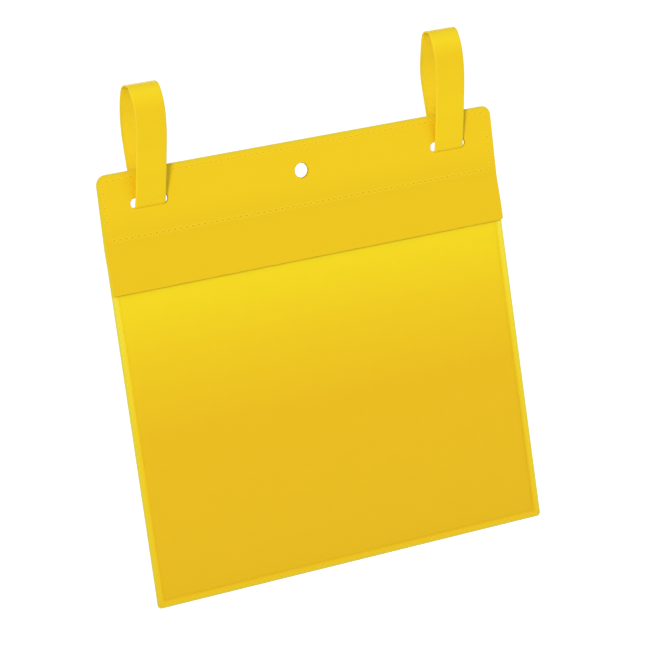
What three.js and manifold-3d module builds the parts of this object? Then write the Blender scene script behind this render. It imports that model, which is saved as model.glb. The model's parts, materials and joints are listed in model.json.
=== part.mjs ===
// A hanging label pocket for one A5 sheet laid sideways, in welded plastic sheet.
// A stiff rear panel carries a clear window film, a doubled header with a rain flap, and two strap
// loops that are threaded through slots in the header. Sizes are millimetres and +Z is up. The
// origin is the centre of the hang hole on the panel's rear face, and the front looks along -Y.

import * as THREE from 'three';
import { mergeVertices } from 'three/addons/utils/BufferGeometryUtils.js';
import Module from 'manifold-3d';

const wasm = await Module();
wasm.setup();

// Rear panel
const panelWidth = 223;
const panelHeight = 218;
const panelThickness = 0.5;
const topCornerRadius = 5;
const bottomCornerRadius = 2;

// Header: a front sheet welded over the top of the panel, whose lower part hangs free as a rain flap
const headerOverhang = 0.5;
const headerThickness = 0.5;
const seamDrop = 33.5;
const flapHingeDrop = 35;
const flapEdgeDrop = 60;
const flapCornerRadius = 1.5;
const flapHingeGap = 0.3;
const flapPanelClearance = 0.1;
const flapFilmClearance = 0.2;

// Weld marks pressed into the header along its edges and along the seam
const weldMarkPitch = 3.3;
const weldMarkLength = 1.5;
const weldMarkHeight = 0.9;
const weldMarkDepth = 0.15;
const weldMarkInset = 3.2;

// Window film: clear sheet welded to the panel on three sides and open at the top, under the flap
const filmThickness = 0.2;
const filmMouthDrop = 48;
const weldWidth = 3.2;
const pocketGap = 0.5;
const pocketRampWidth = 4;

// Hang hole and strap slots, through panel and header. A slot's inset is from the panel's side edge
// to the slot's middle.
const hangHoleDiameter = 7.5;
const hangHoleDrop = 15.5;
const slotInset = 26.5;
const slotLength = 20.4;
const slotHeight = 5;
const slotDrop = 16.5;

// Straps: each is one flat strip, welded on behind above its slot, looped over the top edge and threaded
// front to back through the slot. It lies over the slot's lower rim, and rocks about the line where it
// does. The loop's rear end stands free of the root, so that the loop can rock.
const strapWidth = 16.4;
const strapThickness = 0.8;
const strapRimClearance = 0.3;
const strapPivotGap = 0.3;
const strapRearEndDrop = 3;
const strapRearGap = 1.6;
const leftLoopHeight = 41.7;
const leftLoopFrontReach = 16;
const leftLoopRearReach = 3.3;
const rightLoopHeight = 42.9;
const rightLoopFrontReach = 13.3;
const rightLoopRearReach = 4.2;

// Strap end behind the slot, with a cross head wider than the slot that keeps it from slipping out
const tailLength = 12;
const tailClearance = 0.3;
const tailHeadWidth = 24;
const tailHeadHeight = 5;
const tailHeadRadius = 1.5;

// Strap root, welded flat on the panel's rear face between the top edge and the slot
const anchorWeldDrop = 8.6;
const anchorWeldHeight = 4.6;

// Facets
const roundSegments = 12;
const loopSteps = 96;
const tailSteps = 40;
const anchorSteps = 12;

// One overrun for all cuts
const cutOverrun = 2;

// Places along the stack, front to back, and up and down
const panelFrontY = -panelThickness;
const headerFrontY = panelFrontY - headerThickness;
const filmFrontY = panelFrontY - pocketGap - filmThickness;
const topZ = hangHoleDrop;
const bottomZ = topZ - panelHeight;
const seamZ = topZ - seamDrop;
const flapHingeZ = topZ - flapHingeDrop;
const mouthZ = topZ - filmMouthDrop;
const slotX = panelWidth / 2 - slotInset;
const slotZ = topZ - slotDrop;
const strapPivotZ = slotZ - slotHeight / 2 + strapRimClearance + strapThickness / 2;
const strapPivotY = headerFrontY / 2;
const headerWidth = panelWidth + 2 * headerOverhang;

// A loop's centre line from the slot, up the front, over the top and down behind. Each row is a
// share of the front or rear reach, and a share of the height from the pivot to the top of the loop.
const loopFrontShares = [
  [0, 0],
  [0.05, 0],
  [0.09, 0.012],
  [0.13, 0.035],
  [0.19, 0.071],
  [0.285, 0.145],
  [0.51, 0.314],
  [0.675, 0.433],
  [0.795, 0.516],
  [0.92, 0.626],
  [1, 0.76],
  [0.98, 0.86],
  [0.9, 0.931],
  [0.82, 0.97],
  [0.7, 0.993],
  [0.53, 1],
  [0.4, 0.994],
  [0.245, 0.968],
  [0.065, 0.89],
];
const loopRearShares = [
  [0.29, 0.8],
  [0.68, 0.724],
  [0.95, 0.63],
  [1, 0.55],
  [0.94, 0.45],
  [0.88, 0.36],
];
const loopRearEndShare = 0.82;

// The strap's end behind the slot: shares of the way from the pivot to where it hangs, outwards,
// and of its length, downwards. It goes straight back over the rim before it turns down.
const tailShares = [
  [0, 0],
  [0.42, 0],
  [0.83, 0.017],
  [1, 0.058],
  [1.01, 0.13],
  [1, 0.3],
  [1, 0.6],
  [1, 1],
];

const yellowSheet = { color: 0xefc82a, roughness: 0.45, metalness: 0 };
const yellowStrap = { color: 0xf2cd25, roughness: 0.4, metalness: 0 };
const clearFilm = { color: 0xf6f0d2, roughness: 0.12, metalness: 0, transparent: true, opacity: 0.3 };

// Turns a drawing in X and Z, extruded along its normal, into a sheet that runs forward from Y = 0
const sheetToWorld = new THREE.Matrix4().makeRotationX(Math.PI / 2);

// Turns a side view drawn in Y and Z into a piece that runs along X
const profileToWorld = new THREE.Matrix4().makeBasis(
  new THREE.Vector3(0, 1, 0),
  new THREE.Vector3(0, 0, 1),
  new THREE.Vector3(1, 0, 0),
);

// Solids for cutting and joining

function toSolid(geometry) {
  const bare = geometry.clone();
  bare.deleteAttribute('normal');
  bare.deleteAttribute('uv');
  const merged = mergeVertices(bare);
  const vertProperties = new Float32Array(merged.attributes.position.array);
  const triVerts = new Uint32Array(merged.index.array);
  return new wasm.Manifold(new wasm.Mesh({ numProp: 3, vertProperties, triVerts }));
}

function toGeometry(solid) {
  const mesh = solid.getMesh();
  const geometry = new THREE.BufferGeometry();
  geometry.setAttribute('position', new THREE.BufferAttribute(mesh.vertProperties, 3));
  geometry.setIndex(new THREE.BufferAttribute(mesh.triVerts, 1));
  geometry.computeVertexNormals();
  return geometry;
}

function namedMesh(name, geometry, finish) {
  const mesh = new THREE.Mesh(geometry, new THREE.MeshStandardMaterial(finish));
  mesh.name = name;
  return mesh;
}

// Outlines

// A sheet outline centred on X = 0, with its own radius at the top and at the bottom corners
function sheetOutline(width, top, bottom, topRadius, bottomRadius) {
  const right = width / 2;
  const outline = new THREE.Shape();
  outline.moveTo(-right + bottomRadius, bottom);
  outline.lineTo(right - bottomRadius, bottom);
  if (bottomRadius > 0) {
    outline.absarc(right - bottomRadius, bottom + bottomRadius, bottomRadius, -Math.PI / 2, 0, false);
  }
  outline.lineTo(right, top - topRadius);
  if (topRadius > 0) {
    outline.absarc(right - topRadius, top - topRadius, topRadius, 0, Math.PI / 2, false);
  }
  outline.lineTo(-right + topRadius, top);
  if (topRadius > 0) {
    outline.absarc(-right + topRadius, top - topRadius, topRadius, Math.PI / 2, Math.PI, false);
  }
  outline.lineTo(-right, bottom + bottomRadius);
  if (bottomRadius > 0) {
    outline.absarc(-right + bottomRadius, bottom + bottomRadius, bottomRadius, Math.PI, 1.5 * Math.PI, false);
  }
  return outline;
}

function roundHole(x, z, radius) {
  const hole = new THREE.Path();
  hole.absarc(x, z, radius, 0, 2 * Math.PI, true);
  return hole;
}

// A slot with round ends, lying along X
function roundEndedSlot(x, z, length, height) {
  const radius = height / 2;
  const reach = length / 2 - radius;
  const slot = new THREE.Path();
  slot.moveTo(x - reach, z - radius);
  slot.absarc(x - reach, z, radius, -Math.PI / 2, Math.PI / 2, true);
  slot.lineTo(x + reach, z + radius);
  slot.absarc(x + reach, z, radius, Math.PI / 2, -Math.PI / 2, true);
  return slot;
}

function headerHoles() {
  return [
    roundHole(0, 0, hangHoleDiameter / 2),
    roundEndedSlot(-slotX, slotZ, slotLength, slotHeight),
    roundEndedSlot(slotX, slotZ, slotLength, slotHeight),
  ];
}

// A flat sheet cut to an outline, from rearY forwards
function flatSheet(outline, rearY, thickness) {
  const geometry = new THREE.ExtrudeGeometry(outline, {
    depth: thickness,
    bevelEnabled: false,
    curveSegments: roundSegments,
  });
  geometry.applyMatrix4(sheetToWorld);
  geometry.translate(0, rearY, 0);
  return geometry;
}

// A piece of constant side view, centred on X = 0
function sideProfile(shape, width) {
  const geometry = new THREE.ExtrudeGeometry(shape, { depth: width, bevelEnabled: false });
  geometry.translate(0, 0, -width / 2);
  geometry.applyMatrix4(profileToWorld);
  return geometry;
}

// Evenly spaced points on a smooth line, leaving out `startGap` of its length at the start
function smoothLine(controlPoints, steps, startGap) {
  const curve = new THREE.SplineCurve(controlPoints);
  const startShare = startGap / curve.getLength();
  const line = [];
  for (let step = 0; step <= steps; step += 1) {
    const along = step / steps;
    line.push(curve.getPointAt(startShare * (1 - along) + along));
  }
  return line;
}

// The side view of a strip of even thickness along its centre line
function stripShape(centreLine, thickness) {
  const firstSide = [];
  const secondSide = [];
  centreLine.forEach((point, index) => {
    const before = centreLine[Math.max(index - 1, 0)];
    const after = centreLine[Math.min(index + 1, centreLine.length - 1)];
    const tangent = after.clone().sub(before).normalize();
    const normal = new THREE.Vector2(-tangent.y, tangent.x).multiplyScalar(thickness / 2);
    firstSide.push(point.clone().add(normal));
    secondSide.unshift(point.clone().sub(normal));
  });
  return new THREE.Shape([...firstSide, ...secondSide]);
}

// Rear panel

function buildBackPanel() {
  const outline = sheetOutline(panelWidth, topZ, bottomZ, topCornerRadius, bottomCornerRadius);
  outline.holes = headerHoles();
  return namedMesh('back_panel', flatSheet(outline, 0, panelThickness), yellowSheet);
}

// Header sheet with its pressed weld marks

// Evenly spaced places along a line of length `span`, centred on zero, about one pitch apart
function markPlaces(span) {
  const count = Math.max(2, Math.round(span / weldMarkPitch) + 1);
  const places = [];
  for (let index = 0; index < count; index += 1) {
    places.push(span * (index / (count - 1) - 0.5));
  }
  return places;
}

function weldMark(x, z, width, height) {
  const mark = new THREE.BoxGeometry(width, weldMarkDepth + cutOverrun, height);
  mark.translate(x, headerFrontY + (weldMarkDepth - cutOverrun) / 2, z);
  return toSolid(mark);
}

function headerWeldMarks() {
  const sideX = headerWidth / 2 - weldMarkInset;
  const topMarkZ = topZ - weldMarkInset;
  const sideSpan = topMarkZ - seamZ - topCornerRadius;
  const sideMiddleZ = (topMarkZ + seamZ) / 2;
  const marks = [];
  for (const x of markPlaces(2 * sideX - topCornerRadius)) {
    marks.push(weldMark(x, topMarkZ, weldMarkLength, weldMarkHeight));
    marks.push(weldMark(x, seamZ, weldMarkLength, weldMarkHeight));
  }
  for (const offset of markPlaces(sideSpan)) {
    marks.push(weldMark(-sideX, sideMiddleZ + offset, weldMarkHeight, weldMarkLength));
    marks.push(weldMark(sideX, sideMiddleZ + offset, weldMarkHeight, weldMarkLength));
  }
  return marks;
}

function buildHeaderSheet() {
  const outline = sheetOutline(headerWidth, topZ, flapHingeZ, topCornerRadius, 0);
  outline.holes = headerHoles();
  let sheet = toSolid(flatSheet(outline, panelFrontY, headerThickness));
  for (const mark of headerWeldMarks()) {
    sheet = sheet.subtract(mark);
  }
  return namedMesh('header_sheet', toGeometry(sheet), yellowSheet);
}

// Rain flap, drawn about its hinge line: the bottom front edge of the header sheet. It leans out just
// enough to clear the mouth of the window film.

function buildRainFlap() {
  const rootZ = -flapHingeGap;
  const edgeZ = flapHingeDrop - flapEdgeDrop;
  const rootRearY = headerThickness - flapPanelClearance;
  const mouthRearY = filmFrontY - flapFilmClearance - headerFrontY;
  const lean = (rootRearY - mouthRearY) / (rootZ - (mouthZ - flapHingeZ));
  const edgeRearY = rootRearY + lean * (edgeZ - rootZ);
  const sideView = new THREE.Shape([
    new THREE.Vector2(rootRearY - headerThickness, rootZ),
    new THREE.Vector2(edgeRearY - headerThickness, edgeZ),
    new THREE.Vector2(edgeRearY, edgeZ),
    new THREE.Vector2(rootRearY, rootZ),
  ]);
  const strip = toSolid(sideProfile(sideView, headerWidth));
  const outline = sheetOutline(headerWidth, 0, edgeZ, 0, flapCornerRadius);
  const cutterDepth = 2 * cutOverrun + headerThickness - edgeRearY;
  const cutter = toSolid(flatSheet(outline, cutOverrun, cutterDepth));
  return namedMesh('rain_flap', toGeometry(strip.intersect(cutter)), yellowSheet);
}

// Window film: a shallow tray, its welded margins split from its flat face

// A block whose front face is drawn in by `run` on both sides and at the bottom
function taperedBlock(halfWidth, bottom, top, rearY, depth, run) {
  const block = new THREE.BoxGeometry(2 * halfWidth, depth, top - bottom);
  block.translate(0, rearY - depth / 2, (top + bottom) / 2);
  const position = block.attributes.position;
  const middleY = rearY - depth / 2;
  const middleZ = (top + bottom) / 2;
  for (let index = 0; index < position.count; index += 1) {
    if (position.getY(index) < middleY) {
      const x = position.getX(index);
      position.setX(index, x - Math.sign(x) * run);
      if (position.getZ(index) < middleZ) {
        position.setZ(index, position.getZ(index) + run);
      }
    }
  }
  return block;
}

function filmTray() {
  const innerHalf = panelWidth / 2 - weldWidth;
  const innerBottom = bottomZ + weldWidth;
  const overTop = mouthZ + cutOverrun;
  const outline = sheetOutline(panelWidth, mouthZ, bottomZ, 0, bottomCornerRadius);
  const margin = toSolid(flatSheet(outline, panelFrontY, filmThickness));
  const hump = toSolid(
    taperedBlock(innerHalf, innerBottom, overTop, panelFrontY - filmThickness, pocketGap, pocketRampWidth),
  );
  const pocket = toSolid(
    taperedBlock(innerHalf, innerBottom, overTop, panelFrontY, pocketGap, pocketRampWidth),
  );
  const wholeDepth = filmThickness + pocketGap + cutOverrun;
  const trim = toSolid(flatSheet(outline, panelFrontY, wholeDepth));
  return margin.add(hump).intersect(trim).subtract(pocket);
}

function filmRegion(points) {
  const shape = new THREE.Shape(points.map(([x, z]) => new THREE.Vector2(x, z)));
  return toSolid(flatSheet(shape, cutOverrun, 2 * cutOverrun - filmFrontY));
}

function buildWindowFilm() {
  const tray = filmTray();
  const outerX = panelWidth / 2 + cutOverrun;
  const outerZ = bottomZ - cutOverrun;
  const faceX = panelWidth / 2 - weldWidth - pocketRampWidth;
  const faceZ = bottomZ + weldWidth + pocketRampWidth;
  const overTop = mouthZ + cutOverrun;
  const regions = {
    window_film: [[-faceX, faceZ], [faceX, faceZ], [faceX, overTop], [-faceX, overTop]],
    film_margin_left: [[-outerX, outerZ], [-faceX, faceZ], [-faceX, overTop], [-outerX, overTop]],
    film_margin_right: [[outerX, outerZ], [outerX, overTop], [faceX, overTop], [faceX, faceZ]],
    film_margin_bottom: [[-outerX, outerZ], [outerX, outerZ], [faceX, faceZ], [-faceX, faceZ]],
  };
  return Object.entries(regions).map(([name, points]) => {
    const piece = tray.intersect(filmRegion(points));
    return namedMesh(name, toGeometry(piece), clearFilm);
  });
}

// Straps, drawn about the line where each passes through its slot

const rearEndZ = topZ - strapRearEndDrop - strapPivotZ;

function loopPoints(loop) {
  const rise = topZ + loop.height - strapPivotZ;
  const front = loopFrontShares.map(
    ([depth, height]) => new THREE.Vector2(-depth * loop.frontReach, height * rise),
  );
  const rear = loopRearShares.map(
    ([depth, height]) => new THREE.Vector2(depth * loop.rearReach, height * rise),
  );
  const rearEnd = new THREE.Vector2(loopRearEndShare * loop.rearReach, rearEndZ);
  return [...front, ...rear, rearEnd];
}

function buildStrapLoop(name, loop) {
  const line = smoothLine(loopPoints(loop), loopSteps, strapPivotGap / 2);
  return namedMesh(name, sideProfile(stripShape(line, strapThickness), strapWidth), yellowStrap);
}

// The root of the strap: it comes in to the panel on an even double bend, then lies flat
function buildStrapAnchor(name, loop) {
  const weldY = strapThickness / 2 - strapPivotY;
  const weldTopZ = topZ - anchorWeldDrop - strapPivotZ;
  const strandY = loopRearEndShare * loop.rearReach;
  const strandZ = rearEndZ - strapRearGap;
  const line = [];
  for (let step = 0; step <= anchorSteps; step += 1) {
    const share = step / anchorSteps;
    const out = (1 + Math.cos(Math.PI * share)) / 2;
    line.push(new THREE.Vector2(weldY + out * (strandY - weldY), strandZ + share * (weldTopZ - strandZ)));
  }
  line.push(new THREE.Vector2(weldY, weldTopZ - anchorWeldHeight));
  return namedMesh(name, sideProfile(stripShape(line, strapThickness), strapWidth), yellowStrap);
}

// Cuts the strip seen from behind: a neck as wide as the strap over a wider cross head
function tailCutter(rearY) {
  const headTop = tailHeadHeight - tailLength;
  const depth = 2 * rearY;
  const neck = sheetOutline(strapWidth, cutOverrun, headTop - tailHeadRadius, 0, 0);
  const head = sheetOutline(tailHeadWidth, headTop, -tailLength, tailHeadRadius, tailHeadRadius);
  return toSolid(flatSheet(neck, rearY, depth)).add(toSolid(flatSheet(head, rearY, depth)));
}

function buildStrapTail(name) {
  const hangY = tailClearance + strapThickness / 2 - strapPivotY;
  const points = tailShares.map(([out, down]) => new THREE.Vector2(out * hangY, -down * tailLength));
  const shape = stripShape(smoothLine(points, tailSteps, strapPivotGap / 2), strapThickness);
  const strip = toSolid(sideProfile(shape, tailHeadWidth));
  const tail = strip.intersect(tailCutter(hangY + cutOverrun));
  return namedMesh(name, toGeometry(tail), yellowStrap);
}

function buildStrap(side, centreX, loop) {
  const strap = new THREE.Group();
  strap.name = `${side}_strap`;
  strap.position.set(centreX, strapPivotY, strapPivotZ);
  strap.add(buildStrapLoop(`strap_${side}_loop`, loop));
  strap.add(buildStrapTail(`strap_${side}_tail`));
  strap.add(buildStrapAnchor(`strap_${side}_anchor`, loop));
  return strap;
}

// Assembly

const pouch = new THREE.Group();
pouch.name = 'label_pocket';
pouch.add(buildBackPanel());
pouch.add(buildHeaderSheet());

const flap = buildRainFlap();
flap.position.set(0, headerFrontY, flapHingeZ);
pouch.add(flap);

for (const film of buildWindowFilm()) {
  pouch.add(film);
}

const leftLoop = {
  height: leftLoopHeight,
  frontReach: leftLoopFrontReach,
  rearReach: leftLoopRearReach,
};
const rightLoop = {
  height: rightLoopHeight,
  frontReach: rightLoopFrontReach,
  rearReach: rightLoopRearReach,
};
pouch.add(buildStrap('left', -slotX, leftLoop));
pouch.add(buildStrap('right', slotX, rightLoop));

export default pouch;
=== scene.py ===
"""Looks of a hanging label pocket: welded polypropylene sheet, a clear window and two strap loops.

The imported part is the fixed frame. Each class builds one sub-assembly around it, in millimetres and
in the part's own axes (+X right, +Y back, +Z up, origin at the hang hole on the panel's rear face),
and the finished mesh is then turned into metres.
"""

import json
import logging
import math
from collections.abc import Iterable, Sequence
from dataclasses import dataclass, field
from enum import IntEnum

import bmesh
import bpy
from bmesh.types import BMEdge, BMesh, BMFace, BMVert
from bpy.types import Material, Node, NodeSocket, NodeTree, Object, World
from mathutils import Matrix, Vector


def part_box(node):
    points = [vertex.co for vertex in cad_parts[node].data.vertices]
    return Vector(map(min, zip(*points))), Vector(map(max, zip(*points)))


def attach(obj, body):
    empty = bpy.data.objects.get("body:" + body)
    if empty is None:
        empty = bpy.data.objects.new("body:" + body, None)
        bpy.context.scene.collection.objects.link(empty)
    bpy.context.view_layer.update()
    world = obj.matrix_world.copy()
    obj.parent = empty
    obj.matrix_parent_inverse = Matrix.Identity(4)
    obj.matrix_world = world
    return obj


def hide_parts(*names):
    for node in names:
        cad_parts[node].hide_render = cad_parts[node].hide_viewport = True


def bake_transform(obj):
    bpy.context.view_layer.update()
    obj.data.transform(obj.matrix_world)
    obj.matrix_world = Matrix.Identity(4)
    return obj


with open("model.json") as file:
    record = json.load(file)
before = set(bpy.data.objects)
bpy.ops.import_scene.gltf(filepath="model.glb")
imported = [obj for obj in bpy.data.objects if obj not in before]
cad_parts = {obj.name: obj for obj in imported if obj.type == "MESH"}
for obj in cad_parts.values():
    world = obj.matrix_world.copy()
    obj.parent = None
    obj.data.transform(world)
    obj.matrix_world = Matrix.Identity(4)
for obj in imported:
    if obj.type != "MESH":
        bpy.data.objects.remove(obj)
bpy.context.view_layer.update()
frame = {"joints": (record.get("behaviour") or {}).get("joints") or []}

MM = 0.001
FRONT = Vector((0, -1, 0))
LOG = logging.getLogger("label_pocket")

# Colours along a line: places in millimetres with their hex colours
Stops = tuple[tuple[float, str], ...]

# A round end's radius as a share of the height: just under half, so that no side vanishes
ROUND_END = 0.4999

# Distances in millimetres within which cut points are one, a point is level, and a point is on a line
CUT_MERGE = 1e-4
LEVEL = 1e-3
NEAR = 0.01

# Walls of a sheet: faces whose normal points forwards or backwards by less than this
WALL_LOOK = 0.5

# Rims of a sheet: edges of its walls that turn by more than this, in radians
RIM_TURN = 1.0


class Zone(IntEnum):
    """The faces of a piece, by the finish that they take."""

    SHEET = 0
    EDGE = 1
    LIP = 2
    PIT = 3
    LINING = 4
    FILM = 5
    WELD = 6
    CELL = 7
    WELD_LINE = 8
    STRAP = 9
    STRAP_BACK = 10


class Axis(IntEnum):
    """An axis along which pieces are cut and coloured, by its place in a coordinate."""

    X = 0
    Z = 2


def linear(colour: str) -> tuple[float, float, float, float]:
    """Turns an sRGB hex colour into the linear colour that a shader takes.

    Args:
        colour: Six hex digits after a #.

    Returns:
        Red, green, blue and an alpha of 1.
    """
    channels = [int(colour[start:start + 2], 16) / 255 for start in (1, 3, 5)]
    red, green, blue = [c / 12.92 if c <= 0.04045 else ((c + 0.055) / 1.055) ** 2.4 for c in channels]
    return red, green, blue, 1.0


def add_node(
    tree: NodeTree,
    kind: str,
    settings: dict[str, object] | None = None,
    inputs: dict[str | int, object] | None = None,
    stops: Sequence[tuple[float, str]] = (),
) -> Node:
    """Adds a node, sets it up and links it.

    Args:
        tree: The node tree that gets the node.
        kind: The node's type, such as ShaderNodeTexNoise.
        settings: Its properties by name.
        inputs: Its inputs by name or number, each a value or another node's output.
        stops: A colour ramp's places from 0 to 1, each with its hex colour.

    Returns:
        The new node.
    """
    node = tree.nodes.new(kind)
    for name, value in (settings or {}).items():
        setattr(node, name, value)
    for key, value in (inputs or {}).items():
        if isinstance(value, NodeSocket):
            tree.links.new(value, node.inputs[key])
        else:
            node.inputs[key].default_value = value
    if stops:
        elements = node.color_ramp.elements
        for element, (place, colour) in zip(elements, (stops[0], stops[-1])):
            element.position = place
            element.color = linear(colour)
        for place, colour in stops[1:-1]:
            elements.new(place).color = linear(colour)
    return node


def empty_tree(owner: Material | World) -> NodeTree:
    """Returns the node tree of a material or world, without any nodes."""
    owner.use_nodes = True
    owner.node_tree.nodes.clear()
    return owner.node_tree


def math_node(
    tree: NodeTree, operation: str, first: NodeSocket, second: NodeSocket | float = 0.0
) -> NodeSocket:
    """Adds a sum of one or two values, and returns its result."""
    return add_node(tree, "ShaderNodeMath", {"operation": operation}, {0: first, 1: second}).outputs[0]


def drift(tree: NodeTree, value: NodeSocket, middle: float, amount: float) -> NodeSocket:
    """Turns a value from 0 to 1 into one that strays by an amount about a middle."""
    limits = {"Value": value, "To Min": middle - amount, "To Max": middle + amount}
    return add_node(tree, "ShaderNodeMapRange", inputs=limits).outputs["Result"]


def mix(
    tree: NodeTree,
    share: NodeSocket | float,
    first: NodeSocket,
    second: NodeSocket | Sequence[float],
    blend: str = "MIX",
) -> NodeSocket:
    """Adds a mix of two colours, by a share of the second, and returns its result."""
    settings = {"data_type": "RGBA", "blend_type": blend}
    return add_node(tree, "ShaderNodeMix", settings, {0: share, 6: first, 7: second}).outputs[2]


def ramp(tree: NodeTree, place: NodeSocket, stops: Stops) -> NodeSocket:
    """Adds a colour that changes along a line.

    Args:
        tree: The material's node tree.
        place: The place along the line, in metres.
        stops: The colours along it. Beyond its ends, the end colours go on.

    Returns:
        The colour.
    """
    low, high = stops[0][0], stops[-1][0]
    limits = {"Value": place, "From Min": low * MM, "From Max": high * MM}
    share = add_node(tree, "ShaderNodeMapRange", inputs=limits)
    shares = [((at - low) / (high - low), colour) for at, colour in stops]
    made = add_node(tree, "ShaderNodeValToRGB", inputs={0: share.outputs["Result"]}, stops=shares)
    return made.outputs["Color"]


@dataclass(frozen=True)
class Pattern:
    """A fine pattern all over a surface: its size in millimetres, how strong and how busy it is."""

    size: float
    amount: float
    detail: float

    def noise(self, tree: NodeTree, position: NodeSocket) -> NodeSocket:
        """Adds the pattern's noise, and returns its value from 0 to 1."""
        inputs = {"Vector": position, "Scale": 1 / (self.size * MM), "Detail": self.detail}
        return add_node(tree, "ShaderNodeTexNoise", inputs=inputs).outputs[0]


@dataclass(frozen=True, kw_only=True)
class Finish:
    """One plastic surface: what it is made of and how it was made.

    Polypropylene has an IOR near 1.49. Its specular level is kept low, because a calendered sheet
    scatters most of what it mirrors.
    """

    name: str
    roughness: float = 0.42
    roughness_drift: float = 0.03
    specular: float = 0.2
    ior: float = 1.49
    alpha: float = 1.0
    grain: Pattern | None = Pattern(size=0.6, amount=0.004, detail=1.0)
    mottle: Pattern = Pattern(size=14.0, amount=0.006, detail=2.0)

    def material(self) -> Material:
        """Returns the finish's material, made on the first call."""
        made = bpy.data.materials.get(self.name)
        if made:
            return made
        made = bpy.data.materials.new(self.name)
        tree = empty_tree(made)
        constants = {"IOR": self.ior, "Specular IOR Level": self.specular, "Alpha": self.alpha}
        shader = add_node(tree, "ShaderNodeBsdfPrincipled", inputs=constants)
        add_node(tree, "ShaderNodeOutputMaterial", inputs={"Surface": shader.outputs["BSDF"]})
        position = add_node(tree, "ShaderNodeTexCoord").outputs["Object"]
        self.dress(tree, shader, position)
        return made

    def base(self, tree: NodeTree, position: NodeSocket) -> NodeSocket:
        """Adds the surface's own colour before its patterns.

        Args:
            tree: The material's node tree.
            position: The Object coordinate, in metres.

        Returns:
            The colour.
        """
        raise NotImplementedError

    def dress(self, tree: NodeTree, shader: Node, position: NodeSocket) -> None:
        """Adds the faint mottle of the melt and the fine grain of the roller.

        Args:
            tree: The material's node tree.
            shader: Its Principled shader.
            position: The Object coordinate, in metres.
        """
        cloud = self.mottle.noise(tree, position)
        tint = {
            "Color": self.base(tree, position),
            "Value": drift(tree, cloud, 1.0, self.mottle.amount),
        }
        tinted = add_node(tree, "ShaderNodeHueSaturation", inputs=tint)
        tree.links.new(tinted.outputs["Color"], shader.inputs["Base Color"])
        sheen = drift(tree, cloud, self.roughness, self.roughness_drift)
        tree.links.new(sheen, shader.inputs["Roughness"])
        if self.grain is None:
            return
        relief = {"Height": self.grain.noise(tree, position), "Distance": self.grain.amount * MM}
        bump = add_node(tree, "ShaderNodeBump", inputs={**relief, "Strength": 1.0})
        tree.links.new(bump.outputs["Normal"], shader.inputs["Normal"])


@dataclass(frozen=True, kw_only=True)
class PlainFinish(Finish):
    """A surface of one colour."""

    colour: str

    def base(self, tree: NodeTree, position: NodeSocket) -> NodeSocket:
        """Adds the one colour, as Finish.base says."""
        made = add_node(tree, "ShaderNodeRGB").outputs[0]
        made.default_value = linear(self.colour)
        return made


@dataclass(frozen=True, kw_only=True)
class SheetFinish(Finish):
    """A surface of the sheet or the film, whose colour drifts a little with height."""

    heights: Stops

    def base(self, tree: NodeTree, position: NodeSocket) -> NodeSocket:
        """Adds the colour by height, as Finish.base says."""
        parts = add_node(tree, "ShaderNodeSeparateXYZ", inputs={0: position})
        return ramp(tree, parts.outputs[Axis.Z], self.heights)


@dataclass(frozen=True, kw_only=True)
class StrapFinish(Finish):
    """Extruded strap: painted highlights along its rolled edges, fine draw lines along it, a painted
    highlight where it is bent over the top, and painted shade by height.
    """

    across: Stops
    along: Stops = ((0.0, "#ffffff"), (60.0, "#ffffff"))
    centre_x: float = 85.0
    bend_from: float = 45.0
    bend_to: float = 55.0
    bend_highlight_colour: str = "#f4db26"

    def base(self, tree: NodeTree, position: NodeSocket) -> NodeSocket:
        """Adds the colour by the place across and along the strap, as Finish.base says."""
        parts = add_node(tree, "ShaderNodeSeparateXYZ", inputs={0: position})
        side = math_node(tree, "SIGN", parts.outputs[Axis.X])
        centre = math_node(tree, "MULTIPLY", side, self.centre_x * MM)
        flat = ramp(tree, math_node(tree, "SUBTRACT", parts.outputs[Axis.X], centre), self.across)
        height = parts.outputs[Axis.Z]
        # Between these heights the bend over the top of the loop turns to its painted highlight.
        limits = {"Value": height, "From Min": self.bend_from * MM, "From Max": self.bend_to * MM}
        highlight_share = add_node(tree, "ShaderNodeMapRange", {"interpolation_type": "SMOOTHSTEP"}, limits)
        mixed = mix(tree, highlight_share.outputs["Result"], flat, linear(self.bend_highlight_colour))
        # The colour by height multiplies in painted shade.
        return mix(tree, 1.0, mixed, ramp(tree, height, self.along), "MULTIPLY")


# Calendered polypropylene: satin, even, a shade deeper towards the flap
SHEET = SheetFinish(
    name="polypropylene_calendered_sheet",
    specular=0.08,
    heights=((-20.0, "#ebc41c"), (-13.0, "#eec81c"), (-4.0, "#f1cb1d")),
)

# The same sheet seen through the window film, with painted light in its colour: a painted highlight under
# the flap that fades to painted shade towards the closed bottom
LINING = SheetFinish(
    name="polypropylene_sheet_under_film_painted_light",
    heights=(
        (-198.0, "#e5b900"), (-160.0, "#e8bc05"), (-117.0, "#eabe02"),
        (-80.0, "#f0cc04"), (-52.0, "#f5db08"), (-45.0, "#f6de08"),
    ),
)

# Die-cut edge of the sheets, a little greener than the face. The same colour is painted as rim shade in a
# band along the edge of a sheet's face
CUT_EDGE_AND_RIM_SHADE = PlainFinish(
    name="polypropylene_die_cut_edge_and_painted_rim_shade", colour="#e2ca30", roughness=0.5, specular=0.08
)

# Molten lip round a weld mark of the header: smooth; its pale colour is a painted highlight
LIP = PlainFinish(name="polypropylene_weld_lip_painted_highlight", colour="#f8d430", roughness=0.4, specular=0.08)

# Bottom of a weld mark: pressed thin; its darker colour is painted shade in the pit
PIT = PlainFinish(name="polypropylene_weld_pit_painted_shade", colour="#e1b90f", roughness=0.4, specular=0.08)

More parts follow.
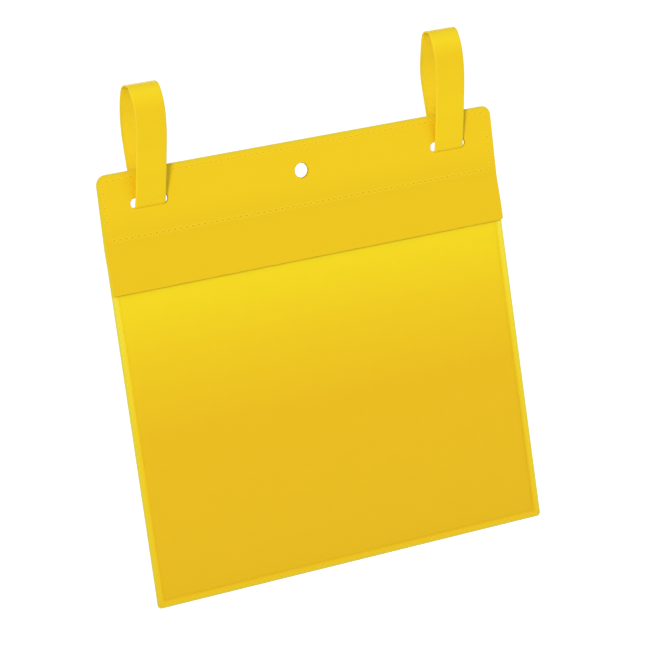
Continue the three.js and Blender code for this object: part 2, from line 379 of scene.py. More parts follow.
# Clear cast film: glossy, with a faint straw tint
FILM = PlainFinish(
    name="polypropylene_cast_film",
    colour="#f4d648",
    roughness=0.12,
    specular=0.15,
    alpha=0.05,
    grain=None,
)

# Cut edge of the film, with the sheet's edge behind it: hazy, so it looks pale; lighter towards the top as
# painted light that follows the lining's
FILM_EDGE = SheetFinish(
    name="polypropylene_slit_film_edge",
    heights=((-202.0, "#d4c040"), (-190.0, "#dcc93a"), (-80.0, "#dfd145"), (-46.0, "#e2da52")),
)

# Film fused to the sheet by the electrode: no air behind it, so it looks brighter; lighter towards the top
# as painted light that follows the lining's
WELD = SheetFinish(
    name="polypropylene_fused_film",
    roughness=0.35,
    heights=(
        (-202.0, "#e6be0f"), (-185.0, "#e8c81a"), (-120.0, "#ebcb18"),
        (-80.0, "#efd523"), (-46.0, "#f1dc36"),
    ),
)

# Cell of the weld, pressed thin and clear: the palest part of the border, lighter towards the top as
# painted light that follows the lining's
WELD_CELL = SheetFinish(
    name="polypropylene_weld_cell",
    roughness=0.3,
    heights=((-202.0, "#ecc311"), (-120.0, "#f1d01f"), (-80.0, "#f4db2c"), (-46.0, "#f5e23f")),
)

# Inner rim of the weld, where the film lifts off the sheet: a darker amber line of painted shade, lighter
# towards the top like the lining
WELD_LINE = SheetFinish(
    name="polypropylene_weld_rim_painted_shade",
    heights=(
        (-202.0, "#e5b80c"), (-140.0, "#e7be0c"), (-100.0, "#ecc610"),
        (-80.0, "#efcf10"), (-46.0, "#f2d612"),
    ),
)

# Extruded strap of soft polypropylene, outer face: satin, with rolled edges. The paler bands near both
# edges are painted highlights and its greenish right rim is painted shade; by height it is darkened a
# little with painted shade, most around 43 mm and at the top
STRAP = StrapFinish(
    name="polypropylene_extruded_strap",
    roughness=0.38,
    specular=0.08,
    across=(
        (-8.2, "#f7d422"), (-7.7, "#fbd526"), (-7.2, "#f7d21e"), (-6.9, "#f4ce19"), (-6.6, "#f7d21d"),
        (6.4, "#f7d21d"), (6.65, "#f4ce19"), (7.0, "#f9d422"), (7.6, "#efd426"), (8.2, "#e2ce34"),
    ),
    along=((24.0, "#ffffff"), (43.0, "#f8f5ff"), (53.0, "#fdf9f5"), (58.5, "#f9f0f5")),
)

# Inner face of the same strap: from the other roll of the die, so matter; its paler colour is painted light
# that lifts it out of the loop's shade, and its left rim carries painted shade
STRAP_BACK = StrapFinish(
    name="polypropylene_extruded_strap_inner_face_painted_light",
    roughness=0.5,
    specular=0.08,
    across=((-8.2, "#e2cf34"), (-7.6, "#e8ce2c"), (-7.0, "#f0d42a"), (-6.4, "#f4d72a")),
    bend_highlight_colour="#f6d72a",
)


@dataclass(frozen=True)
class Box:
    """A CAD node's box at rest, in millimetres."""

    low: Vector
    high: Vector

    @classmethod
    def of(cls, node: str) -> "Box":
        """Returns the box of a CAD node."""
        low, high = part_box(node)
        return cls(low / MM, high / MM)


def only(items: Iterable[object], kind: type) -> list:
    """Returns the items of one kind."""
    return [item for item in items if isinstance(item, kind)]


def round_off(
    bm: BMesh, items: Sequence[BMVert | BMEdge], radius: float, segments: int, kind: str
) -> None:
    """Rounds off corners or edges of a mesh.

    Args:
        bm: The mesh.
        items: The corners or edges.
        radius: How far from them the rounding starts.
        segments: The number of its steps.
        kind: VERTICES for corners, EDGES for edges.
    """
    bmesh.ops.bevel(
        bm,
        geom=items,
        offset=radius,
        offset_type="OFFSET",
        segments=segments,
        profile=0.5,
        affect=kind,
        material=-1,
    )


def inset_each(bm: BMesh, faces: Sequence[BMFace], width: float, rise: float) -> list[BMFace]:
    """Draws each face in by a width and raises it, and returns the faces that run round them."""
    made = bmesh.ops.inset_individual(bm, faces=faces, thickness=width, depth=rise, use_even_offset=True)
    return made["faces"]


def add_back(bm: BMesh, thickness: float) -> list[BMFace]:
    """Gives a sheet that is drawn on its front its thickness, and returns its rear faces."""
    made = bmesh.ops.extrude_face_region(bm, geom=bm.faces[:], use_keep_orig=True)["geom"]
    bmesh.ops.translate(bm, vec=-FRONT * thickness, verts=only(made, BMVert))
    bmesh.ops.recalc_face_normals(bm, faces=bm.faces)
    return only(made, BMFace)


@dataclass(frozen=True)
class Outline:
    """A rectangle in X and Z with rounded corners, in millimetres."""

    left: float
    right: float
    bottom: float
    top: float
    bottom_radius: float = 0.0
    top_radius: float = 0.0
    segments: int = 8

    @classmethod
    def around(cls, x: float, z: float, length: float, height: float) -> "Outline":
        """Returns a round-ended outline centred on a point."""
        radius = ROUND_END * min(length, height)
        return cls(x - length / 2, x + length / 2, z - height / 2, z + height / 2, radius, radius)

    def grown(self, by: float, least_radius: float = 0.0) -> "Outline":
        """Returns the outline moved outwards all round, or inwards.

        Args:
            by: How far outwards, or inwards if it is negative.
            least_radius: The radius that its bottom corners keep when it shrinks.
        """
        return Outline(
            self.left - by,
            self.right + by,
            self.bottom - by,
            self.top + by,
            max(self.bottom_radius + by, least_radius),
            max(self.top_radius + by, 0.0),
            self.segments,
        )

    def face(self, bm: BMesh, y: float) -> BMFace:
        """Draws the outline as one face.

        Args:
            bm: The mesh that gets it.
            y: The plane that it lies in.

        Returns:
            The face, which looks forwards.
        """
        before = set(bm.faces)
        corners = (
            (self.left, self.bottom),
            (self.right, self.bottom),
            (self.right, self.top),
            (self.left, self.top),
        )
        verts = [bm.verts.new((x, y, z)) for x, z in corners]
        bm.faces.new(verts)
        for pair, radius in ((verts[:2], self.bottom_radius), (verts[2:], self.top_radius)):
            if radius > 0:
                round_off(bm, pair, radius, self.segments, "VERTICES")
        return next(face for face in bm.faces if face not in before)


def paint(faces: Iterable[BMFace], zone: Zone) -> None:
    """Gives faces to a zone."""
    for face in faces:
        face.material_index = zone


def cut_along(bm: BMesh, faces: Sequence[BMFace], axis: Axis, places: Iterable[float]) -> None:
    """Cuts faces with planes square to an axis, and keeps both sides.

    Args:
        bm: The mesh.
        faces: The faces that are cut, which follow the cuts.
        axis: The axis that the planes are square to.
        places: Where along the axis they lie.
    """
    for place in places:
        geometry = list(faces)
        geometry += {edge for face in faces for edge in face.edges}
        geometry += {vert for face in faces for vert in face.verts}
        normal = Vector([float(index == axis) for index in range(3)])
        made = bmesh.ops.bisect_plane(
            bm, geom=geometry, dist=CUT_MERGE, plane_co=normal * place, plane_no=normal
        )
        faces = only(made["geom"], BMFace)


def press_marks(
    bm: BMesh, faces: Sequence[BMFace], lip: float, rise: float, wall: float, depth: float
) -> None:
    """Presses marks into a sheet, each with a raised lip of displaced melt.

    Args:
        bm: The mesh.
        faces: One face for each mark.
        lip: The lip's width.
        rise: Its height above the sheet.
        wall: The width of the mark's sloping wall.
        depth: The mark's depth below the sheet.
    """
    # The lips take a painted highlight and the pits a painted shade.
    paint(inset_each(bm, faces, lip, rise), Zone.LIP)
    paint(inset_each(bm, faces, wall, -(rise + depth)), Zone.PIT)
    paint(faces, Zone.PIT)


@dataclass(frozen=True)
class Bow:
    """The slight forward bow of the thin sheets towards the top edge, as a shift that grows with height."""

    reach: float
    start_z: float
    end_z: float
    rows: int

    def heights(self) -> list[float]:
        """Returns the heights at which a flat sheet is cut so that it can follow the bow."""
        step = (self.end_z - self.start_z) / self.rows
        return [self.start_z + step * row for row in range(self.rows + 1)]

    def bend(self, bm: BMesh) -> None:
        """Moves a mesh's points forward by the bow."""
        for vert in bm.verts:
            share = (vert.co.z - self.start_z) / (self.end_z - self.start_z)
            vert.co += FRONT * self.reach * min(1.0, max(0.0, share))


BOW = Bow(reach=2.0, start_z=-24.0, end_z=14.0, rows=8)


def add_object(name: str, data: bpy.types.ID) -> Object:
    """Adds an object to the scene, and returns it."""
    made = bpy.data.objects.new(name, data)
    bpy.context.scene.collection.objects.link(made)
    return made


def add_mesh(name: str, bm: BMesh) -> Object:
    """Turns a mesh in millimetres into an object in metres, at the origin, and uses the mesh up."""
    bmesh.ops.scale(bm, vec=(MM, MM, MM), verts=bm.verts)
    mesh = bpy.data.meshes.new(name)
    bm.to_mesh(mesh)
    bm.free()
    return add_object(name, mesh)


def finished_piece(
    name: str,
    bm: BMesh,
    finishes: dict[Zone, Finish],
    sharp_from: float = 20.0,
) -> Object:
    """Turns a mesh in millimetres into a dressed piece in metres, bowed as the sheets are.

    Args:
        name: The piece's name.
        bm: Its mesh, which is used up.
        finishes: The finish of each of its zones.
        sharp_from: The angle in degrees from which an edge stays sharp.

    Returns:
        The piece, with its object at the origin.
    """
    zones = list(finishes)
    for face in bm.faces:
        face.material_index = zones.index(Zone(face.material_index))
    BOW.bend(bm)
    piece = add_mesh(name, bm)
    mesh = piece.data
    for finish in finishes.values():
        mesh.materials.append(finish.material())
    mesh.polygons.foreach_set("use_smooth", [True] * len(mesh.polygons))
    mesh.set_sharp_from_angle(angle=math.radians(sharp_from))
    LOG.info("%s: %d faces", name, len(mesh.polygons))
    return piece


@dataclass
class SheetBlank:
    """A flat sheet that is drawn on its front plane and then given its thickness."""

    front_y: float
    thickness: float
    rim_shade_band: float = 1.1
    hole_band: float = 0.3
    edge_round: float = 0.12
    edge_segments: int = 2
    mark_sides: int = 8
    bm: BMesh = field(default_factory=bmesh.new)
    loops: list[BMEdge] = field(default_factory=list)

    def outline(self, shape: Outline) -> None:
        """Draws the sheet's outline, with a narrow band along it in the cut edge's colour, as painted rim
        shade.
        """
        face = shape.face(self.bm, self.front_y)
        ring = self.band(face, self.rim_shade_band)
        self.loops += list(face.edges)
        bmesh.ops.delete(self.bm, geom=[face], context="FACES_ONLY")
        paint(ring, Zone.EDGE)

    def opening(self, shape: Outline, zone: Zone) -> None:
        """Draws an opening, with a thin band of a zone round it."""
        face = shape.grown(self.hole_band).face(self.bm, self.front_y)
        self.loops += list(face.edges)
        ring = self.band(face, self.hole_band)
        bmesh.ops.delete(self.bm, geom=[face], context="FACES_ONLY")
        paint(ring, zone)

    def band(self, face: BMFace, width: float) -> list[BMFace]:
        """Draws a band just inside a face, and returns the band's faces."""
        made = bmesh.ops.inset_region(
            self.bm, faces=[face], thickness=width, use_even_offset=True, use_boundary=True
        )
        return made["faces"]

    def mark(self, x: float, z: float, length: float, height: float) -> BMFace:
        """Draws the outline of a weld mark, an oval of a few straight sides, and returns its face."""
        place = Matrix.Translation((x, self.front_y, z)) @ Matrix.Rotation(math.pi / 2, 4, "X")
        shape = Matrix.Diagonal((length / 2, height / 2, 1, 1))
        made = bmesh.ops.create_circle(
            self.bm, cap_ends=True, radius=1, segments=self.mark_sides, matrix=place @ shape
        )
        face = made["verts"][0].link_faces[0]
        self.loops += list(face.edges)
        return face

    def fill(self, zone: Zone) -> list[BMFace]:
        """Fills the sheet between its outline, openings and marks, and returns the faces."""
        made = bmesh.ops.triangle_fill(self.bm, use_beauty=True, edges=self.loops, normal=FRONT)
        faces = only(made["geom"], BMFace)
        paint(faces, zone)
        return faces

    def thicken(self) -> list[BMFace]:
        """Gives the sheet its thickness, with rounded rims, and returns its rear faces."""
        rear = add_back(self.bm, self.thickness)
        walls = [face for face in self.bm.faces if abs(face.normal.y) < WALL_LOOK]
        paint(walls, Zone.EDGE)
        rims = {edge for face in walls for edge in face.edges if edge.calc_face_angle(0.0) > RIM_TURN}
        round_off(self.bm, list(rims), self.edge_round, self.edge_segments, "EDGES")
        return rear


@dataclass
class PunchedHoles:
    """The hang hole and the two strap slots, which go through the header and the rear panel."""

    slot_x: float
    hole_diameter: float = 7.5
    slot_z: float = -1.0
    slot_length: float = 20.4
    slot_height: float = 5.0

    def outlines(self) -> list[Outline]:
        """Returns the outlines of the hole and the slots."""
        hole = Outline.around(0.0, 0.0, self.hole_diameter, self.hole_diameter)
        slots = [
            Outline.around(side * self.slot_x, self.slot_z, self.slot_length, self.slot_height)
            for side in (-1, 1)
        ]
        return [hole, *slots]


@dataclass
class RearPanel:
    """The stiff rear sheet, which everything else is welded to."""

    box: Box
    holes: PunchedHoles
    top_radius: float = 5.0
    bottom_radius: float = 2.0

    def build(self) -> Object:
        """Builds and dresses the panel, and returns it."""
        low, high = self.box.low, self.box.high
        blank = SheetBlank(front_y=low.y, thickness=high.y - low.y)
        blank.outline(Outline(low.x, high.x, low.z, high.z, self.bottom_radius, self.top_radius))
        for hole in self.holes.outlines():
            blank.opening(hole, Zone.LINING)
        blank.fill(Zone.LINING)
        rear = blank.thicken()
        paint([face for face in rear if face.is_valid and face.material_index == Zone.LINING], Zone.SHEET)
        cut_along(blank.bm, blank.bm.faces[:], Axis.Z, BOW.heights())
        piece = finished_piece(
            "rear_panel_sheet",
            blank.bm,
            {Zone.LINING: LINING, Zone.SHEET: SHEET, Zone.EDGE: CUT_EDGE_AND_RIM_SHADE},
        )
        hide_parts("back_panel")
        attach(piece, "pouch")
        return piece


@dataclass
class HeaderSheet:
    """The doubled header and its rain flap: one sheet, welded at its edges and along a dotted seam."""

    box: Box
    flap: Box
    hinge_z: float
    holes: PunchedHoles
    seam_z: float = -17.4
    seam_mark_length: float = 2.4
    seam_mark_height: float = 1.9
    top_radius: float = 5.0
    flap_radius: float = 1.5
    mark_pitch: float = 3.3
    mark_length: float = 2.1
    mark_height: float = 1.5
    mark_inset: float = 3.2
    mark_lip: float = 0.32
    mark_rise: float = 0.02
    mark_wall: float = 0.14
    mark_depth: float = 0.04
    fold_above: float = 0.5
    fold_below: float = 3.0
    fold_rows: int = 10
    lean_turns: int = 4
    rest_z: float = -33.5
    rest_below: float = 5.0
    rest_share: float = 0.8

    def mark_places(self, span: float) -> list[float]:
        """Returns even places along a line centred on zero, about one pitch apart."""
        count = max(2, round(span / self.mark_pitch) + 1)
        return [span * (index / (count - 1) - 0.5) for index in range(count)]

    def marks(self, blank: SheetBlank) -> list[BMFace]:
        """Draws the marks along the top, the seam and the sides, and returns their faces."""
        side_x = self.box.high.x - self.mark_inset
        top_z = self.box.high.z - self.mark_inset
        faces = []
        for x in self.mark_places(2 * side_x - self.top_radius):
            faces.append(blank.mark(x, top_z, self.mark_length, self.mark_height))
            faces.append(blank.mark(x, self.seam_z, self.seam_mark_length, self.seam_mark_height))
        middle_z = (top_z + self.seam_z) / 2
        for offset in self.mark_places(top_z - self.seam_z - self.top_radius):
            for x in (-side_x, side_x):
                faces.append(blank.mark(x, middle_z + offset, self.mark_height, self.mark_length))
        return faces

    def lean(self, bm: BMesh) -> None:
        """Leans the flap out past the film's mouth, then back along the film, in small round turns."""
        drop = self.hinge_z - self.flap.low.z
        angle = math.atan2(self.box.low.y - self.flap.low.y, drop)
        turns = self.lean_turns
        for top, height, turn in (
            (self.hinge_z, self.fold_below, -angle),
            (self.rest_z, self.rest_below, self.rest_share * angle),
        ):
            for step in range(turns):
                z = top - height * step / turns
                bmesh.ops.rotate(
                    bm,
                    cent=(0, self.box.low.y, z),
                    matrix=Matrix.Rotation(turn / turns, 3, "X"),
                    verts=[vert for vert in bm.verts if vert.co.z < z - LEVEL],
                )

    def build(self) -> Object:
        """Builds and dresses the sheet, and returns it."""
        low, high, flap_z = self.box.low, self.box.high, self.flap.low.z
        blank = SheetBlank(front_y=low.y, thickness=high.y - low.y)
        blank.outline(Outline(low.x, high.x, flap_z, high.z, self.flap_radius, self.top_radius))
        # The painted rim shade stays along the left and top: the bands at the right and the bottom take the
        # sheet's colour.
        right, bottom = high.x - blank.rim_shade_band, flap_z + blank.rim_shade_band
        centres = [(face, face.calc_center_median()) for face in blank.bm.faces]
        paint([face for face, centre in centres if centre.x > right or centre.z < bottom], Zone.SHEET)
        for hole in self.holes.outlines():
            blank.opening(hole, Zone.SHEET)
        marks = self.marks(blank)
        blank.fill(Zone.SHEET)
        blank.thicken()
        press_marks(blank.bm, marks, self.mark_lip, self.mark_rise, self.mark_wall, self.mark_depth)
        fold_top = self.hinge_z + self.fold_above
        fold_height = self.fold_above + self.fold_below
        rows = []
        for top, height, count in (
            (fold_top, fold_height, self.fold_rows),
            (self.rest_z, self.rest_below, self.lean_turns),
        ):
            rows += [top - height * row / count for row in range(count + 1)]
        cut_along(blank.bm, blank.bm.faces[:], Axis.Z, (*rows, *BOW.heights()))
        self.lean(blank.bm)
        piece = finished_piece(
            "header_and_rain_flap",
            blank.bm,
            {Zone.SHEET: SHEET, Zone.EDGE: CUT_EDGE_AND_RIM_SHADE, Zone.LIP: LIP, Zone.PIT: PIT},
        )
        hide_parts("header_sheet", "rain_flap")
        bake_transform(piece)
        return piece


@dataclass
class WindowFilm:
    """The clear window film: a shallow tray whose rim is fused to the panel on three sides."""

    panel: Box
    face: Box
    corner_radius: float = 2.0
    inner_radius: float = 0.35
    thickness: float = 0.17
    rear_share: float = 0.85
    edge_width: float = 0.8
    column_width: float = 1.05
    line_width: float = 0.9
    cell_length: float = 1.65
    cell_tolerance: float = 0.4
    zigzag: float = 0.3
    pit_wall: float = 0.25
    pit_depth: float = 0.07
    pocket_gap: float = 0.5

    def tray(self, bm: BMesh) -> BMFace:
        """Draws the tray flat, as nested bands: edge, two weld columns, line, ramp and face.

        Args:
            bm: The mesh that gets them.

        Returns:
            The face, which is the innermost.
        """
        weld_width = self.edge_width + 2 * self.column_width
        ramp_width = self.panel.high.x - self.face.high.x - weld_width
        bands = (
            (self.edge_width, Zone.EDGE),
            (self.column_width, Zone.WELD),
            (self.column_width, Zone.WELD),
            (self.line_width, Zone.WELD_LINE),
            (ramp_width - self.line_width, Zone.FILM),
        )
        low, high = self.panel.low, self.panel.high
        top = self.face.high.z + 2 * sum(width for width, _ in bands)
        shape = Outline(low.x, high.x, low.z, top, self.corner_radius)
        face = shape.face(bm, low.y - self.thickness)
        for width, zone in bands:
            rim = list(face.edges)
            bmesh.ops.delete(bm, geom=[face], context="FACES_ONLY")
            shape = shape.grown(-width, self.inner_radius)
            face = shape.face(bm, low.y - self.thickness)
            made = bmesh.ops.bridge_loops(bm, edges=rim + list(face.edges))
            paint(made["faces"], zone)
        paint([face], Zone.FILM)
        return face

    def build(self) -> Object:
        """Builds and dresses the film, and returns it."""
        bm = bmesh.new()
        face = self.tray(bm)
        bmesh.ops.translate(bm, vec=FRONT * self.pocket_gap, verts=list(face.verts))
        bmesh.ops.bisect_plane(
            bm,
            geom=bm.verts[:] + bm.edges[:] + bm.faces[:],
            dist=CUT_MERGE,
            plane_co=(0, 0, self.face.high.z),
            plane_no=(0, 0, 1),
            clear_outer=True,
        )
        self.cut_cells(bm)
        cells = self.pick_cells(bm)
        add_back(bm, self.thickness * self.rear_share)
        paint(inset_each(bm, cells, self.pit_wall, -self.pit_depth) + cells, Zone.CELL)
        piece = finished_piece(
            "window_film_sheet",
            bm,
            {
                Zone.FILM: FILM,
                Zone.EDGE: FILM_EDGE,
                Zone.WELD: WELD,
                Zone.CELL: WELD_CELL,
                Zone.WELD_LINE: WELD_LINE,
            },
        )
        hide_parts("window_film", "film_margin_left", "film_margin_right", "film_margin_bottom")
        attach(piece, "pouch")
        return piece

    def weld_faces(self, bm: BMesh, axis: Axis) -> list[BMFace]:
        """Returns the weld's faces beside the pocket (axis Z) or under it (axis X)."""
        side = self.panel.high.x - self.edge_width - 2 * self.column_width
        found = []
        for face in bm.faces:
            beside = abs(face.calc_center_median().x) > side
            if face.material_index == Zone.WELD and beside == (axis == Axis.Z):
                found.append(face)
        return found

    def cut_cells(self, bm: BMesh) -> None:
        """Cuts the weld's two columns into cells, and bends the line between them into a zigzag."""
        low, high = self.panel.low, self.panel.high
        rows = int((self.face.high.z - low.z) / self.cell_length)
        columns = int((high.x - low.x) / self.cell_length)
        heights = [low.z + self.cell_length * (row + 0.5) for row in range(2, rows)]
        widths = [low.x + self.cell_length * (column + 0.5) for column in range(2, columns - 2)]
        cut_along(bm, self.weld_faces(bm, Axis.Z), Axis.Z, heights)
        cut_along(bm, self.weld_faces(bm, Axis.X), Axis.X, widths)
        middle = self.edge_width + self.column_width
        for vert in bm.verts:
            side = high.x - abs(vert.co.x)
            under = vert.co.z - low.z
            if abs(side - middle) < NEAR and under > 2 * middle:
                step = round(under / self.cell_length - 0.5)
                vert.co.x += math.copysign(self.zigzag, vert.co.x) * (1 if step % 2 else -1)
            elif abs(under - middle) < NEAR and side > 2 * middle:
                step = round((vert.co.x - low.x) / self.cell_length - 0.5)
                vert.co.z += self.zigzag * (1 if step % 2 else -1)

    def pick_cells(self, bm: BMesh) -> list[BMFace]:
        """Returns every other cell of the two columns, staggered, for the electrode's pits."""
        low, high = self.panel.low, self.panel.high
        middle = self.edge_width + self.column_width
        nominal = self.cell_length * self.column_width
        picked = []
        for axis in (Axis.Z, Axis.X):
            for face in self.weld_faces(bm, axis):
                centre = face.calc_center_median()
                if axis == Axis.Z:
                    along, inset = centre.z - low.z, high.x - abs(centre.x)
                else:
                    along, inset = centre.x - low.x, centre.z - low.z
                step = math.floor(along / self.cell_length - 0.5)
                staggered = (step + (inset > middle)) % 2 == 0
                if staggered and abs(face.calc_area() - nominal) < self.cell_tolerance * nominal:
                    picked.append(face)
        return picked


@dataclass(frozen=True)
class LoopShape:
    """How far one strap loop stands up, forward and back, in millimetres."""

    side: str
    x: float
    height: float
    front_reach: float
    rear_reach: float


@dataclass
class Strap:
    """One strap: a single strip from its cross head behind the slot, over the top, to its welded root.

    Its centre line is drawn about the line where it passes through the slot. A loop's points are
    shares of its reach and of its height above that line.
    """

    loop: LoopShape
    pivot_y: float
    pivot_z: float
    top_z: float = 15.5
    width: float = 16.4
    thickness: float = 0.8
    tail_length: float = 12.0
    tail_out: float = 1.2
    head_width: float = 24.0
    head_height: float = 5.0
    head_radius: float = 1.5
    head_segments: int = 4
    rear_end_drop: float = 3.0
    root_start_drop: float = 4.6
    root_drop: float = 8.6
    root_height: float = 4.6
    rim_seat: float = 0.5
    rim_reach: float = 2.5
    root_bends: int = 4
    edge_round: float = 0.22
    edge_segments: int = 3
    sharp_from: float = 50.0
    line_inset: float = 1.3
    line_width: float = 0.35
    blend_from: float = 4.0
    blend_to: float = 24.0
    fine_steps: int = 24
    steps: int = 230

    front_shares = (
        (0.05, 0.0), (0.09, 0.012), (0.13, 0.035), (0.19, 0.071), (0.285, 0.145), (0.51, 0.314),
        (0.675, 0.433), (0.795, 0.516), (0.92, 0.626), (1.0, 0.76), (0.98, 0.86), (0.9, 0.931),
        (0.82, 0.97), (0.7, 0.993), (0.53, 1.0), (0.4, 0.994), (0.245, 0.968), (0.065, 0.89),
    )
    rear_shares = ((0.29, 0.8), (0.68, 0.724), (0.95, 0.63), (1.0, 0.55), (0.94, 0.45), (0.88, 0.36))
    rear_end_share = 0.82
    tail_shares = (
        (1.0, 1.0), (1.0, 0.6), (1.0, 0.3), (1.01, 0.13),
        (1.0, 0.058), (0.83, 0.017), (0.42, 0.0), (0.0, 0.0),
    )
    root_shares = (0.3, 0.6, 1.0)

    def control_points(self) -> list[Vector]:
        """Returns the points that the strip's centre line goes through, from head to root."""
        rise = self.top_z + self.loop.height - self.pivot_z
        tail = [(out * self.tail_out, -down * self.tail_length) for out, down in self.tail_shares]
        front = [(-depth * self.loop.front_reach, height * rise) for depth, height in self.front_shares]
        rear = [(depth * self.loop.rear_reach, height * rise) for depth, height in self.rear_shares]
        above = self.top_z - self.pivot_z
        strand_y = self.rear_end_share * self.loop.rear_reach
        weld_y = self.thickness / 2 - self.pivot_y
        start_z, root_z = above - self.root_start_drop, above - self.root_drop
        root = [(strand_y, above - self.rear_end_drop)]
        for step in range(self.root_bends + 1):
            share = step / self.root_bends
            out = (1 + math.cos(math.pi * share)) / 2
            root.append((weld_y + out * (strand_y - weld_y), start_z + share * (root_z - start_z)))
        root += [(weld_y, root_z - self.root_height * share) for share in self.root_shares]
        return [Vector((y, z)) for y, z in (*tail, *front, *rear, *root)]

    def centre_line(self) -> list[Vector]:
        """Returns even points in Y and Z along a smooth curve through the control points."""
        points = self.control_points()
        points = [2 * points[0] - points[1], *points, 2 * points[-1] - points[-2]]
        fine = []
        for p0, p1, p2, p3 in zip(points, points[1:], points[2:], points[3:]):
            for step in range(self.fine_steps):
                t = step / self.fine_steps
                bend = (2 * p0 - 5 * p1 + 4 * p2 - p3) * t * t + (3 * p1 - p0 - 3 * p2 + p3) * t ** 3
                fine.append((2 * p1 + (p2 - p0) * t + bend) / 2)
        fine.append(points[-2])
        lengths = [0.0]
        for before, after in zip(fine, fine[1:]):
            lengths.append(lengths[-1] + (after - before).length)
        line = []
        index = 0
        for step in range(self.steps + 1):
            target = lengths[-1] * step / self.steps
            while index < len(fine) - 2 and lengths[index + 1] < target:
                index += 1
            share = (target - lengths[index]) / (lengths[index + 1] - lengths[index])
            point = fine[index].lerp(fine[index + 1], min(1.0, share))
            point.y -= self.rim_seat * max(0.0, 1 - abs(point.y) / self.rim_reach)
            line.append(point)
        return line

    def ribbon(self) -> BMesh:
        """Draws the strip as a ribbon without thickness, with its cross head."""
        bm = bmesh.new()
        left = self.loop.x - self.width / 2
        places = [(left, self.pivot_y + out, self.pivot_z + up) for out, up in self.centre_line()]
        verts = [bm.verts.new(place) for place in places]
        edges = [bm.edges.new(pair) for pair in zip(verts, verts[1:])]
        middle = self.width - 2 * (self.line_inset + self.line_width)
        for column in (self.line_inset, self.line_width, middle, self.line_width, self.line_inset):
            made = bmesh.ops.extrude_edge_only(bm, edges=edges)["geom"]
            edges = only(made, BMEdge)
            bmesh.ops.translate(bm, vec=(column, 0, 0), verts=only(made, BMVert))
        paint(bm.faces, Zone.STRAP)
        self.add_head(bm)
        return bm

    def add_head(self, bm: BMesh) -> None:
        """Widens the end of the strip behind the slot into the cross head."""
        head_top = self.pivot_z - self.tail_length + self.head_height
        cut_along(bm, bm.faces[:], Axis.Z, [head_top])
        rear_limit = self.pivot_y + self.tail_out + self.thickness
        for side in (-1, 1):
            edge_x = self.loop.x + side * self.width / 2
            edges = []
            for edge in bm.edges:
                on_side = all(abs(vert.co.x - edge_x) < NEAR for vert in edge.verts)
                low = all(vert.co.z < head_top + NEAR and vert.co.y < rear_limit for vert in edge.verts)
                if on_side and low:
                    edges.append(edge)
            moved = only(bmesh.ops.extrude_edge_only(bm, edges=edges)["geom"], BMVert)
            reach = side * (self.head_width - self.width) / 2
            bmesh.ops.translate(bm, vec=(reach, 0, 0), verts=moved)
            heights = [vert.co.z for vert in moved]
            corners = [vert for vert in moved if vert.co.z in (min(heights), max(heights))]
            round_off(bm, corners, self.head_radius, self.head_segments, "VERTICES")

    def build(self) -> Object:
        """Builds and dresses the strap, and returns it."""
        bm = self.ribbon()
        bmesh.ops.recalc_face_normals(bm, faces=bm.faces)
        if min(bm.faces, key=lambda face: face.calc_center_median().y).normal.y > 0:
            bmesh.ops.reverse_faces(bm, faces=bm.faces)
        name = f"strap_{self.loop.side}_strip"
        finishes = {Zone.STRAP: STRAP, Zone.STRAP_BACK: STRAP_BACK}
        piece = finished_piece(name, bm, finishes, self.sharp_from)
        wall = piece.modifiers.new("thickness", "SOLIDIFY")
        wall.thickness = self.thickness * MM
        wall.offset = 0.0
        wall.use_even_offset = True
        wall.material_offset = 1
        rims = piece.modifiers.new("rolled_edges", "BEVEL")
        rims.width = self.edge_round * MM
        rims.segments = self.edge_segments
        rims.limit_method = "ANGLE"
        rims.angle_limit = math.radians(self.sharp_from)
        nodes = [f"strap_{self.loop.side}_{part}" for part in ("loop", "tail", "anchor")]
        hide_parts(*nodes)
        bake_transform(piece)
        return piece


@dataclass(frozen=True)
class Lamp:
    """A far, soft lamp: where it stands as seen from the pocket, how wide it looks, and its strength."""

    name: str
    azimuth: float
    elevation: float
    spread: float
    strength: float


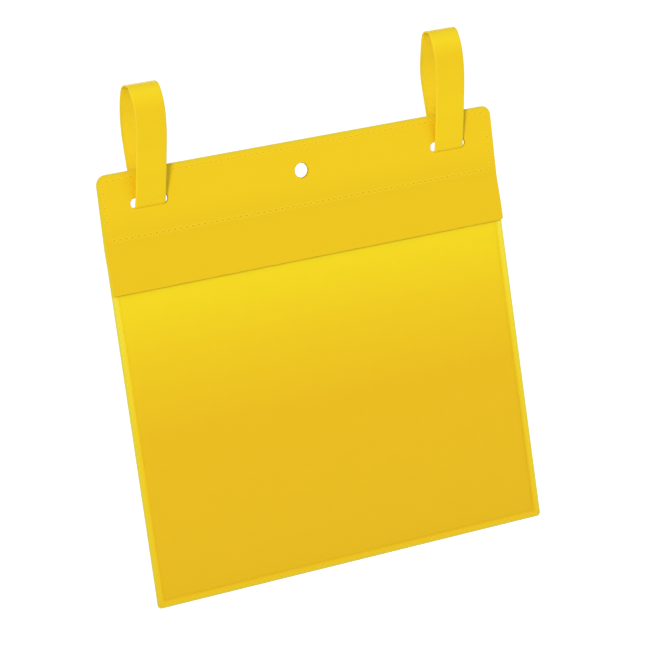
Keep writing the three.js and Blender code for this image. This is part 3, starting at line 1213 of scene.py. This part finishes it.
@dataclass
class Studio:
    """The camera, lamps, white surroundings and pale floor."""

    aim: tuple[float, float, float] = (1.985, -0.321, -79.86)
    azimuth: float = -26.337
    elevation: float = 7.975
    roll: float = -7.989
    distance: float = 1706.2
    lens: float = 186.43
    sensor: float = 36.0
    clip_metres: float = 100.0
    floor_z: float = -1000.0
    floor_size: float = 60000.0
    floor_colour: str = "#e8e8e8"
    floor_roughness: float = 0.9
    floor_glow: float = 0.46
    ambient: float = 0.562
    lamps: tuple[Lamp, ...] = (
        Lamp("key", azimuth=-36.0, elevation=17.0, spread=10.0, strength=1.7),
        Lamp("back_fill", azimuth=160.0, elevation=35.0, spread=30.0, strength=0.4),
    )

    @staticmethod
    def direction(azimuth: float, elevation: float) -> Vector:
        """Returns the way from the pocket to a place given by azimuth and elevation in degrees."""
        around, up = math.radians(azimuth), math.radians(elevation)
        return Vector((math.sin(around) * math.cos(up), -math.cos(around) * math.cos(up), math.sin(up)))

    def place_camera(self) -> None:
        """Stands the camera where the photograph was taken from."""
        data = bpy.data.cameras.new("camera")
        data.lens = self.lens
        data.sensor_width = self.sensor
        data.clip_end = self.clip_metres
        camera = add_object("camera", data)
        place = Vector(self.aim) + self.direction(self.azimuth, self.elevation) * self.distance
        turn = Matrix.Rotation(math.radians(self.azimuth), 4, "Z")
        tilt = Matrix.Rotation(math.radians(90 - self.elevation), 4, "X")
        roll = Matrix.Rotation(math.radians(self.roll), 4, "Z")
        camera.matrix_world = Matrix.Translation(place * MM) @ turn @ tilt @ roll
        bpy.context.scene.camera = camera

    def place_lamps(self) -> None:
        """Hangs the soft lamps, turned towards the pocket."""
        for lamp in self.lamps:
            data = bpy.data.lights.new(lamp.name, "SUN")
            data.angle = math.radians(lamp.spread)
            data.energy = lamp.strength
            holder = add_object(lamp.name, data)
            way = self.direction(lamp.azimuth, lamp.elevation)
            holder.location = way
            holder.rotation_euler = (-way).to_track_quat("-Z", "Y").to_euler()

    @staticmethod
    def seen_directly(tree: NodeTree) -> NodeSocket:
        """Adds nodes that are 1 for camera, mirror and see-through rays, and returns that value."""
        rays = add_node(tree, "ShaderNodeLightPath").outputs
        both = math_node(tree, "MAXIMUM", rays["Is Camera Ray"], rays["Is Glossy Ray"])
        return math_node(tree, "MAXIMUM", both, rays["Is Transmission Ray"])

    def light_surroundings(self) -> None:
        """Makes the surroundings white to the camera, with a plainer light on the pocket."""
        world = bpy.data.worlds.new("studio")
        bpy.context.scene.world = world
        tree = empty_tree(world)
        white = linear("#ffffff")
        lit = add_node(tree, "ShaderNodeBackground", inputs={"Color": white, "Strength": self.ambient})
        shown = add_node(tree, "ShaderNodeBackground", inputs={"Color": white, "Strength": 1.0})
        mixed = add_node(
            tree,
            "ShaderNodeMixShader",
            inputs={0: self.seen_directly(tree), 1: lit.outputs[0], 2: shown.outputs[0]},
        )
        add_node(tree, "ShaderNodeOutputWorld", inputs={"Surface": mixed.outputs[0]})

    def lay_floor(self) -> None:
        """Lays a wide pale floor below the hanging pocket, which keeps its shadow."""
        bm = bmesh.new()
        bmesh.ops.create_grid(bm, x_segments=1, y_segments=1, size=self.floor_size / 2)
        bmesh.ops.translate(bm, vec=(0, 0, self.floor_z), verts=bm.verts)
        floor = add_mesh("floor", bm)
        floor.data.materials.append(self.floor_material())

    def floor_material(self) -> Material:
        """Returns matt studio paint, with a glow that only makes it white where it is seen."""
        made = bpy.data.materials.new("matt_studio_paint")
        tree = empty_tree(made)
        inputs = {
            "Base Color": linear(self.floor_colour),
            "Roughness": self.floor_roughness,
            "Specular IOR Level": 0.0,
            "Emission Color": linear("#ffffff"),
            "Emission Strength": math_node(tree, "MULTIPLY", self.seen_directly(tree), self.floor_glow),
        }
        shader = add_node(tree, "ShaderNodeBsdfPrincipled", inputs=inputs)
        add_node(tree, "ShaderNodeOutputMaterial", inputs={"Surface": shader.outputs["BSDF"]})
        return made

    def build(self) -> None:
        """Sets up the camera, lamps, surroundings and floor."""
        self.place_camera()
        self.place_lamps()
        self.light_surroundings()
        self.lay_floor()
        bpy.context.scene.view_settings.view_transform = "Standard"


def joint_place(name: str) -> Vector:
    """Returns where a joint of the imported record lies, in millimetres."""
    joint = next(item for item in frame["joints"] if item["name"] == name)
    return Vector(joint["pos_m"]) / MM


def main() -> None:
    """Builds the studio and every piece of the pocket."""
    logging.basicConfig(level=logging.INFO, format="%(message)s")
    Studio().build()
    left = joint_place("left_loop_rock")
    right = joint_place("right_loop_rock")
    holes = PunchedHoles(slot_x=right.x)
    panel = Box.of("back_panel")
    RearPanel(panel, holes).build()
    HeaderSheet(Box.of("header_sheet"), Box.of("rain_flap"), joint_place("flap_fold").z, holes).build()
    WindowFilm(panel, Box.of("window_film")).build()
    loops = (
        LoopShape("left", left.x, height=41.7, front_reach=16.0, rear_reach=3.3),
        LoopShape("right", right.x, height=42.9, front_reach=13.3, rear_reach=4.2),
    )
    for loop in loops:
        Strap(loop, pivot_y=right.y, pivot_z=right.z).build()


if __name__ == "__main__":
    main()
